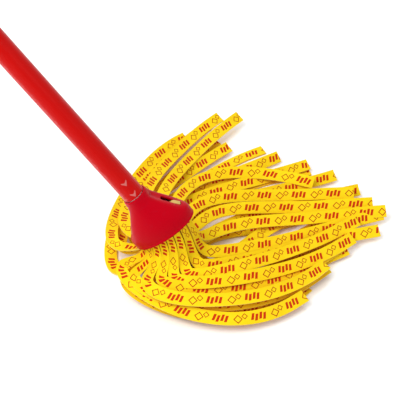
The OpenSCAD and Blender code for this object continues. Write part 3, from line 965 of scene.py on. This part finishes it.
def route_mesh(name, laid):
    """The route as points that carry what the cut strip needs to know at each station."""
    # The first and last stations stand twice, so that the ends are closed square
    order = [0] + list(range(STATIONS)) + [STATIONS - 1]
    mesh = bpy.data.meshes.new(name + " route")
    mesh.from_pydata([laid["place"][k] for k in order], [], [])
    for label in ("across", "facing"):
        stored = mesh.attributes.new(label, "FLOAT_VECTOR", "POINT")
        for point, k in zip(stored.data, order):
            point.vector = laid[label][k]
    for label in ("half_width", "cup"):
        stored = mesh.attributes.new(label, "FLOAT", "POINT")
        for point, k in zip(stored.data, order):
            point.value = laid[label][k]
    stored = mesh.attributes.new("full", "FLOAT", "POINT")
    for point, full in zip(stored.data, [0.0] + [1.0] * STATIONS + [0.0]):
        point.value = full
    return mesh


cut_strip = make_cut_strip()
cloth = make_printed_cloth()
socket_of = {
    item.name: item.identifier for item in cut_strip.interface.items_tree
    if item.in_out == "INPUT"}


def cut_cloth(name, laid, print_start):
    """The finished strip, cut and printed along its route."""
    piece = bpy.data.objects.new("cloth_" + name, route_mesh(name, laid))
    scene.collection.objects.link(piece)
    sweep = piece.modifiers.new("cut strip", "NODES")
    sweep.node_group = cut_strip
    for label, value in (
        ("Section", section), ("Thickness", STRIP_T * MM), ("Length", STRIP_LEN * MM),
        ("Print start", print_start), ("Stations", STATIONS + 2),
        ("Section points", len(SECTION)), ("Cloth", cloth),
    ):
        sweep[socket_of[label]] = value
    apply_modifiers(piece)
    shade(piece, CLOTH_CREASE)
    return piece


for ring_name, ring_w, ring_d, first_layer, rows in RINGS:
    for i, row in enumerate(rows):
        angle = oval_angle(ring_w, ring_d, (i - 0.5) / len(rows))
        outwards = Vector((math.cos(angle) / ring_w, math.sin(angle) / ring_d, 0))
        route = strip_route(angle, ring_w, ring_d, first_layer, row)
        own = random.Random(100 * first_layer + i)
        laid = lay_strip(
            spread_evenly(route, STATIONS), LEANT @ outwards.normalized(), first_layer == 0, own)
        name = "strip_%s_%d" % (ring_name, i + 1)
        piece = cut_cloth(name, laid, own.uniform(0, PRINT_REPEAT))
        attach(piece, "head")
        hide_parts(name)
bpy.data.objects.remove(section)

# ---- Floor and light ----
# A white glossy studio floor under a broad soft lamp from above, with a weaker one beside it.


def shows_backdrop(tree):
    """1 for the rays that show the backdrop: the camera's, and those off gloss and glass."""
    rays = put(tree, "ShaderNodeLightPath").outputs
    seen = reckon(tree, "MAXIMUM", rays["Is Camera Ray"], rays["Is Glossy Ray"])
    return reckon(tree, "MAXIMUM", seen, rays["Is Transmission Ray"])


def make_floor_white():
    """Glossy white, with a painted glow where the floor is open, which fades as painted shade
    near and under the mop.
    """
    material, tree, shader = new_material("white floor", (0.97, 0.97, 0.96), 0.15, IOR=2.0)
    shader.inputs["Emission Color"].default_value = (1, 1, 1, 1)
    # Painted glow and shade: emission as strong as ambient occlusion finds the floor open, so it
    # glows less near the mop
    open_floor = put(tree, "ShaderNodeAmbientOcclusion", {"Distance": 0.05}, samples=8)
    lifted = reckon(tree, "MULTIPLY", open_floor.outputs["AO"], 0.2)
    seen_painted_glow = reckon(tree, "MULTIPLY", shows_backdrop(tree), lifted)
    tree.links.new(seen_painted_glow, shader.inputs["Emission Strength"])
    return material


FLOOR_REACH, FLOOR_BELOW = 6, 0.0004
floor_corners = [
    (x * FLOOR_REACH, y * FLOOR_REACH, 0) for x, y in ((-1, -1), (1, -1), (1, 1), (-1, 1))]
floor_mesh = bpy.data.meshes.new("floor")
floor_mesh.from_pydata(floor_corners, [], [(0, 1, 2, 3)])
floor = bpy.data.objects.new("floor", floor_mesh)
scene.collection.objects.link(floor)
floor.location.z = -FLOOR_BELOW
floor.data.materials.append(make_floor_white())

for lamp_name, place, size, power in (
    ("upper lamp", (-1.0, -0.6, 1.6), 1.2, 26),
    ("side lamp", (1.4, -0.9, 1.1), 1.0, 1.5),
):
    lamp_data = bpy.data.lights.new(lamp_name, "AREA")
    lamp_data.size = size
    lamp_data.energy = power
    lamp = bpy.data.objects.new(lamp_name, lamp_data)
    scene.collection.objects.link(lamp)
    lamp.location = place
    lamp.rotation_euler = (-Vector(place)).to_track_quat("-Z", "Y").to_euler()

world = bpy.data.worlds.new("studio")
scene.world = world
world.use_nodes = True
sky = world.node_tree.nodes["Background"]
sky.inputs["Color"].default_value = (1, 1, 1, 1)
sky.inputs["Strength"].default_value = 0.7
seen_sky = put(world.node_tree, "ShaderNodeBackground", {"Color": (1, 1, 1, 1), "Strength": 1.0})
sky_choice = put(world.node_tree, "ShaderNodeMixShader", {
    0: shows_backdrop(world.node_tree), 1: sky.outputs[0], 2: seen_sky.outputs[0]})
world_out = world.node_tree.nodes["World Output"]
world.node_tree.links.new(sky_choice.outputs[0], world_out.inputs["Surface"])
scene.view_settings.view_transform = "Standard"
